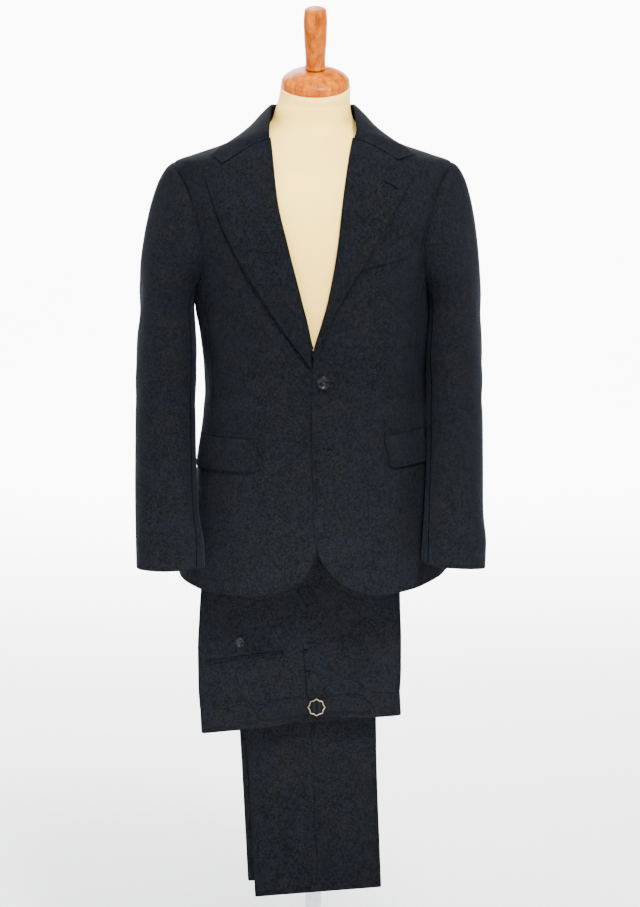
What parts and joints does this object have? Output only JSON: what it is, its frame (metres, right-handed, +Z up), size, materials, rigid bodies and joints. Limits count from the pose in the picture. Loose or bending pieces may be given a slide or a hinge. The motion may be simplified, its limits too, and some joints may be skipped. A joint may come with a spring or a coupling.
{
  "type": "suit on dress form stand",
  "caption": "Two-piece suit on a limbless bust form: notch-lapel jacket on the bust, trousers folded over the stand's bar below it.",
  "frame": {"origin": "underside of the round base, on the pole's axis", "axes": "+Z up along the pole, -Y the way the suit faces, +X the wearer's left"},
  "size_m": [0.5309, 0.3622, 1.5811],
  "materials": {
    "cloth": "matt mottled navy wool, fine twill",
    "cotton": "cream cotton stretched over the bust",
    "wood": "varnished honey wood",
    "steel": "brushed",
    "base": "dark satin powder coat",
    "button": "dark horn, satin",
    "brass": "polished"
  },
  "bodies": {
    "root": {"back_left": "cloth", "back_right": "cloth", "bar_clamp": "steel", "base": "base", "breast_welt": "cloth", "buckle_far": "brass", "buckle_near": "brass", "bust_form": "cotton", "button_lower": "button", "button_upper": "button", "collar": "cloth", "flap_left": "cloth", "flap_right": "cloth", "front_left": "cloth", "front_right": "cloth", "jet_left": "cloth", "jet_right": "cloth", "lapel_left": "cloth", "lapel_right": "cloth", "neck_cap": "wood", "neck_handle": "wood", "pocket_button_far": "button", "pocket_button_near": "button", "pocket_jet_far": "cloth", "pocket_jet_near": "cloth", "pole": "steel", "side_panel_left": "cloth", "side_panel_right": "cloth", "strap_left_far": "cloth", "strap_left_near": "cloth", "strap_right_far": "cloth", "strap_right_near": "cloth", "top_sleeve_left": "cloth", "top_sleeve_right": "cloth", "trouser_back_far": "cloth", "trouser_back_near": "cloth", "trouser_bar": "steel", "trouser_front_far": "cloth", "trouser_front_near": "cloth", "under_sleeve_left": "cloth", "under_sleeve_right": "cloth", "waistband_far": "cloth", "waistband_near": "cloth"}
  },
  "joints": []
}
